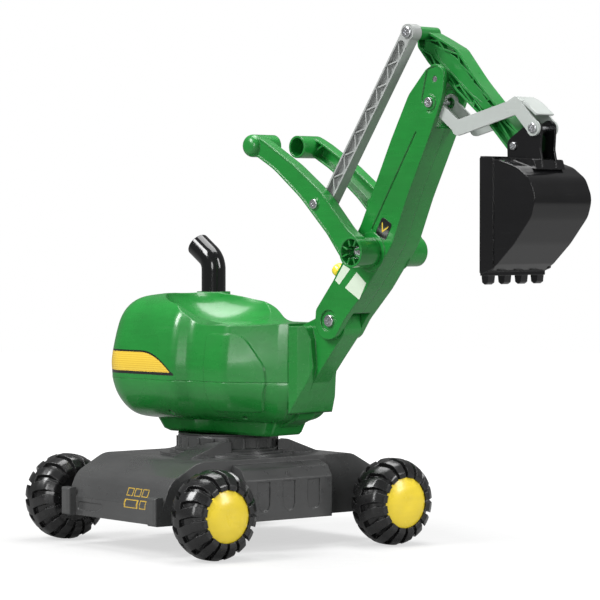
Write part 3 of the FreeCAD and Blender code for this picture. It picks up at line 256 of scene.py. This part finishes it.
# %% [markdown]
# ## The printed band on the hump
# A yellow band with a black outline is printed round each rear corner of the upper shell. A sticker is
# thinner than paint, so it is drawn in the shell's own material. Its top edge is a parabola that drops
# to a point, and fine darker lines run along it.

# %% Band on the upper shell
SHELL_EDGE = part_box("body_upper")[0].z      # the upper shell's lower edge
BAND_LOW, BAND_TOP = SHELL_EDGE + 0.0072, SHELL_EDGE + 0.0415   # the band where it is full
BAND_TAPER = (-0.058, 0.0085)               # x from the swivel: the top edge drops from here to here
BAND_DROP = 0.031
BAND_HALF_GAP = 0.045                       # bare shell each side of the middle plane
OUTLINE_LOW, OUTLINE_TOP = 0.0042, 0.0026   # width of the black outline
BAND_TIP, INK_TIP = 0.0095, 0.0035          # x where the outline and the ink end
LINE_PITCH = 0.0031

def banded_green():
    tree = body_green("green_banded")
    axis = tree.add("ShaderNodeSeparateXYZ")
    tree.feed(axis.inputs[0], tree.place)
    x, y, z = axis.outputs
    t = tree.band(x, *BAND_TAPER)
    drop = tree.calc("MULTIPLY", tree.calc("MULTIPLY", t, t), BAND_DROP)
    top = tree.calc("SUBTRACT", BAND_TOP, drop)
    sides = tree.calc("GREATER_THAN", tree.calc("ABSOLUTE", y), BAND_HALF_GAP)
    behind_tip = tree.calc("LESS_THAN", x, BAND_TIP)
    printed = tree.calc("MULTIPLY", tree.calc("GREATER_THAN", z, BAND_LOW),
                        tree.calc("LESS_THAN", z, top))
    printed = tree.calc("MULTIPLY", printed, tree.calc("MULTIPLY", sides, behind_tip))
    ink_top = tree.calc("SUBTRACT", top, OUTLINE_TOP)
    inked = tree.calc("MULTIPLY", tree.calc("GREATER_THAN", z, BAND_LOW + OUTLINE_LOW),
                      tree.calc("LESS_THAN", z, ink_top))
    inked = tree.calc("MULTIPLY", inked, tree.calc("LESS_THAN", x, INK_TIP))
    wave = tree.calc("SINE", tree.calc("MULTIPLY", z, 2 * math.pi / LINE_PITCH))
    ink = tree.mix(tree.band(wave, 0.1, 0.9), (0.80, 0.56, 0.06, 1), (0.66, 0.41, 0.03, 1))
    sticker = tree.mix(inked, (0.006, 0.006, 0.006, 1), ink)
    rubbed = tree.calc("MULTIPLY", tree.worn, 0.6)
    sticker = tree.mix(rubbed, sticker, (0.5, 0.5, 0.45, 1))
    tree.feed(tree.shader.inputs["Base Color"], tree.mix(printed, tree.base, sticker))
    return tree

green_banded = banded_green()
print("band drawn on", green_banded.mat.name)

# %% [markdown]
# ## Printed frames on the base
# The base's end plate carries small amber marks. They are drawn as blank frames in the shell's own
# finish, on coordinates turned with the base, so that the frames stay square to its edge.

# %% Frames on the base
BASE_TURN = math.radians(7.15)
BASE_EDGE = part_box("base_shell")[0].z
ROW_HIGH, ROW_LOW = BASE_EDGE + 0.042, BASE_EDGE + 0.026
FRAMES = [(0.030, ROW_HIGH, 0.0075, 0.0055), (0.048, ROW_HIGH, 0.0075, 0.0055),  # centre x and z,
          (0.066, ROW_HIGH, 0.0075, 0.0055), (0.039, ROW_LOW, 0.0165, 0.0060),   # half width
          (0.067, ROW_LOW, 0.0075, 0.0060)]                                      # and half height
FRAME_INNER = 0.78      # the blank middle, as a share of the frame
PRINTED_SIDE = -0.150   # only the end plate, beyond this y, is printed

def framed_graphite():
    tree = base_graphite("graphite_printed")
    turned = tree.add("ShaderNodeVectorRotate", rotation_type="Z_AXIS")
    tree.feed(turned.inputs["Vector"], tree.place)
    turned.inputs["Angle"].default_value = BASE_TURN
    axis = tree.add("ShaderNodeSeparateXYZ")
    tree.feed(axis.inputs[0], turned.outputs[0])
    x, y, z = axis.outputs
    marks = None
    for cx, cz, wide, high in FRAMES:
        across = tree.calc("DIVIDE", tree.calc("ABSOLUTE", tree.calc("SUBTRACT", x, cx)), wide)
        up = tree.calc("DIVIDE", tree.calc("ABSOLUTE", tree.calc("SUBTRACT", z, cz)), high)
        far = tree.calc("MAXIMUM", across, up)
        line = tree.calc("MULTIPLY", tree.calc("GREATER_THAN", far, FRAME_INNER),
                         tree.calc("LESS_THAN", far, 1.0))
        marks = line if marks is None else tree.calc("MAXIMUM", marks, line)
    marks = tree.calc("MULTIPLY", marks, tree.calc("LESS_THAN", y, PRINTED_SIDE))
    marks = tree.calc("MULTIPLY", marks, tree.band(tree.noise(260.0, 3), 0.30, 0.42))
    amber = tree.mix(marks, tree.base, (0.50, 0.33, 0.04, 1))
    tree.feed(tree.shader.inputs["Base Color"], amber)
    return tree

graphite_printed = framed_graphite()
print("frames drawn on", graphite_printed.mat.name)

# %% [markdown]
# ## Dress the CAD pieces
# A CAD node keeps its mesh and gets a finish in its material slots. A table from name to finish is
# easier to check than a long list of assignments, and anything not in it is a metal fastener.

# %% Dress the CAD pieces
finishes = {"body_upper": green_banded, "body_lower": green, "boom_right": green,
            "boom_left": green, "lever_left": green, "lever_right": green, "stick": green_rib,
            "base_shell": graphite_printed, "neck_ring": neck_grey, "slide_ring": slide_plastic,
            "exhaust": black, "bucket": black, "lock_knob": yellow, "link_rod": silver,
            "bucket_link": link_silver}
for name in nodes:
    if name.startswith("wheel_"):
        finishes[name] = tyre
    elif name.startswith("hubcap_"):
        finishes[name] = yellow

def dress(obj, tree):
    obj.data.materials.clear()
    obj.data.materials.append(tree.mat)

for name, obj in nodes.items():
    dress(obj, finishes.get(name, steel))
print("dressed", len(nodes), "nodes,", len(nodes) - len(finishes), "of them steel")

# %% [markdown]
# ## Labels and badge
# Thin printed pieces sit on the boom: two blank pale labels on its foot, and a black badge with a
# plain chevron. Each starts as a ring of corner points, is filled, given its thickness by an extrude,
# and rounded by a bevel on the edges that stand along its thickness.

# %% Label finishes and maker
label_paper = moulded("label_paper", (0.62, 0.72, 0.58), 0.42, drift=0.05, wear=0.2,
                      radius=0.0002, peel=0.02)
label_yellow = moulded("label_yellow", (0.72, 0.50, 0.05), 0.42, drift=0.08, wear=0.3,
                       radius=0.0002, peel=0.02)
badge_black = moulded("badge_black", (0.010, 0.010, 0.010), 0.22, coat=0.3, wear=0.1,
                      radius=0.0002)

def plate(name, corners, normal, thick, round_by, tree, body):
    """Flat plate through the 3-D corners, grown along normal, with rounded corners."""
    shape = bmesh.new()
    face = shape.faces.new([shape.verts.new(c) for c in corners])
    lifted = [part for part in bmesh.ops.extrude_face_region(shape, geom=[face])["geom"]
              if isinstance(part, bmesh.types.BMVert)]
    bmesh.ops.translate(shape, verts=lifted, vec=Vector(normal) * thick)
    posts = []
    for edge in shape.edges:
        along = (edge.verts[0].co - edge.verts[1].co).normalized()
        if abs(along.dot(Vector(normal))) > 0.99:
            posts.append(edge)
    bmesh.ops.bevel(shape, geom=posts, offset=round_by, offset_type="OFFSET", segments=5,
                    profile=0.5, affect="EDGES", material=-1)
    bmesh.ops.recalc_face_normals(shape, faces=shape.faces)
    mesh = bpy.data.meshes.new(name)
    shape.to_mesh(mesh)
    shape.free()
    obj = bpy.data.objects.new(name, mesh)
    bpy.context.scene.collection.objects.link(obj)
    dress(obj, tree)
    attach(obj, body)
    return obj

print("label maker ready")

# %% [markdown]
# ## Labels
# The two labels are slanted four-sided shapes, so their corners are listed one by one in the flank's
# plane, measured from the boom's foot pivot. They stand a tenth of a millimetre off the moulding,
# which keeps the two surfaces from flickering through each other.

# %% Labels on the boom
RIGHT = (0, -1, 0)
HUB_PROUD = 0.001   # the foot's hub stands this far out from the boom's flank
OFF_FLANK = 0.0001
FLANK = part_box("boom_right")[0].y + HUB_PROUD - OFF_FLANK
PAPER = 0.0002      # thickness of a printed label
foot_x, _, foot_z = pivots["boom_lift"]
LABELS = {"boom_label_small": [(0.029, 0.0785), (0.042, 0.0725), (0.021, 0.0505), (0.013, 0.0565)],
          "boom_label_large": [(0.054, 0.0685), (0.072, 0.0535), (0.059, 0.0305), (0.032, 0.0465)]}
for name, offsets in LABELS.items():
    plate(name, [(foot_x + x, FLANK, foot_z + z) for x, z in offsets], RIGHT, PAPER, 0.001,
          label_paper, "boom")
print("labels", list(LABELS))

# %% [markdown]
# ## Badge
# The badge is square to the boom's upper part, which leans by thirty degrees. Its corners are written
# flat, about its own centre, and a small function turns them and moves them to their place beside the
# lever's pivot.

# %% Badge on the boom
def around(cx, cz, pairs, y, turn):
    """Turn flat (along, up) pairs about a centre on the boom's flank."""
    c, s = math.cos(turn), math.sin(turn)
    return [(cx + a * c - b * s, y, cz + a * s + b * c) for a, b in pairs]

lever_x, _, lever_z = pivots["lever_pull"]
BADGE_AT = (lever_x + 0.025, lever_z + 0.032)
BADGE_TURN = math.radians(-30)
BADGE_THICK = 0.0005
OUTLINE = [(-0.0105, -0.013), (0.0105, -0.013), (0.0105, 0.013), (-0.0105, 0.013)]
CHEVRON = [(-0.0062, 0.004), (0, -0.0062), (0.0062, 0.004), (0.0062, 0.0075), (0, -0.0022),
           (-0.0062, 0.0075)]
badge = plate("badge", around(*BADGE_AT, OUTLINE, FLANK, BADGE_TURN),
              RIGHT, BADGE_THICK, 0.004, badge_black, "boom")
chevron = plate("badge_chevron", around(*BADGE_AT, CHEVRON, FLANK - BADGE_THICK, BADGE_TURN),
                RIGHT, PAPER, 0.0002, label_yellow, "boom")
print("badge", badge.name, chevron.name)

# %% [markdown]
# ## Stage and light
# Glossy black plastic looks black only when most of what it mirrors is dark, so the room is dim and
# the light comes from a few large soft lamps, whose long reflections read as gloss. The floor is a
# sheet of white acrylic that glows like a light table, as for product pictures, its glow dimmed
# towards the object as painted shade. It glows at full strength only where the camera sees it, and at
# an eighth of that on the object.

# %% Stage
def acrylic_floor():
    shape = bmesh.new()
    bmesh.ops.create_circle(shape, cap_ends=True, segments=96, radius=6.0)
    mesh = bpy.data.meshes.new("floor")
    shape.to_mesh(mesh)
    shape.free()
    obj = bpy.data.objects.new("floor", mesh)
    bpy.context.scene.collection.objects.link(obj)
    tree = Tree("floor_acrylic")
    grain = tree.band(tree.noise(1.5, 3), 0.3, 0.7)
    sheet = tree.mix(grain, (0.21, 0.21, 0.21, 1), (0.23, 0.23, 0.23, 1))
    tree.feed(tree.shader.inputs["Base Color"], sheet)
    tree.feed(tree.shader.inputs["Roughness"], tree.band(tree.noise(40.0, 3), 0.3, 0.7, 0.55, 0.7))
    far = tree.add("ShaderNodeVectorMath", operation="LENGTH")
    tree.feed(far.inputs[0], tree.place)
    tree.shader.inputs["Emission Color"].default_value = (1, 1, 1, 1)
    # painted shade: the floor's glow falls from full strength far out to 0.62 towards the object
    glow_with_painted_shade = tree.band(far.outputs["Value"], 0.35, 1.6, 0.62, 1.0)
    seen = tree.add("ShaderNodeLightPath").outputs["Is Camera Ray"]
    share = tree.band(seen, 0.0, 1.0, 0.12, 1.0)
    tree.feed(tree.shader.inputs["Emission Strength"], tree.calc("MULTIPLY", glow_with_painted_shade, share))
    dress(obj, tree)
    return obj

floor = acrylic_floor()
print("floor", floor.name)

# %% [markdown]
# ## Room and lamps
# The background is white where it is seen directly, and dim grey in everything it lights or is
# mirrored in, which a Light Path node switches. Each lamp is a rectangle turned to the object.

# %% Room
WHITE = (1, 1, 1, 1)
ROOM_SEEN, ROOM_LIT = 1.0, 0.20     # strength to the camera, and to everything else

def room():
    world = bpy.data.worlds.new("studio")
    bpy.context.scene.world = world
    world.use_nodes = True
    tree = world.node_tree
    nodes, links = tree.nodes, tree.links
    shown, lit = nodes["Background"], nodes.new("ShaderNodeBackground")
    for background, strength in ((shown, ROOM_SEEN), (lit, ROOM_LIT)):
        background.inputs["Color"].default_value = WHITE
        background.inputs["Strength"].default_value = strength
    switch, ray = nodes.new("ShaderNodeMixShader"), nodes.new("ShaderNodeLightPath")
    links.new(ray.outputs["Is Camera Ray"], switch.inputs[0])
    links.new(lit.outputs[0], switch.inputs[1])
    links.new(shown.outputs[0], switch.inputs[2])
    links.new(switch.outputs[0], nodes["World Output"].inputs["Surface"])

def softbox(name, place, target, wide, tall, power):
    lamp = bpy.data.lights.new(name, "AREA")
    lamp.shape, lamp.size, lamp.size_y, lamp.energy = "RECTANGLE", wide, tall, power
    obj = bpy.data.objects.new(name, lamp)
    bpy.context.scene.collection.objects.link(obj)
    aim(obj, place, Vector(target) - Vector(place))
    return obj

room()
MIDDLE = (0.15, 0.0, 0.35)      # the lamps point at the middle of the digger
lamps = [softbox("key", (-0.5, -2.3, 2.5), MIDDLE, 1.1, 1.5, 105),
         softbox("side", (2.7, 0.9, 1.5), MIDDLE, 0.7, 1.8, 45),
         softbox("top", (0.1, 0.5, 2.6), MIDDLE, 1.8, 1.8, 70),
         softbox("fill", (2.2, -3.4, 1.2), MIDDLE, 0.9, 1.4, 42)]
bpy.context.scene.view_settings.view_transform = "Standard"
print("lamps", [lamp.name for lamp in lamps])
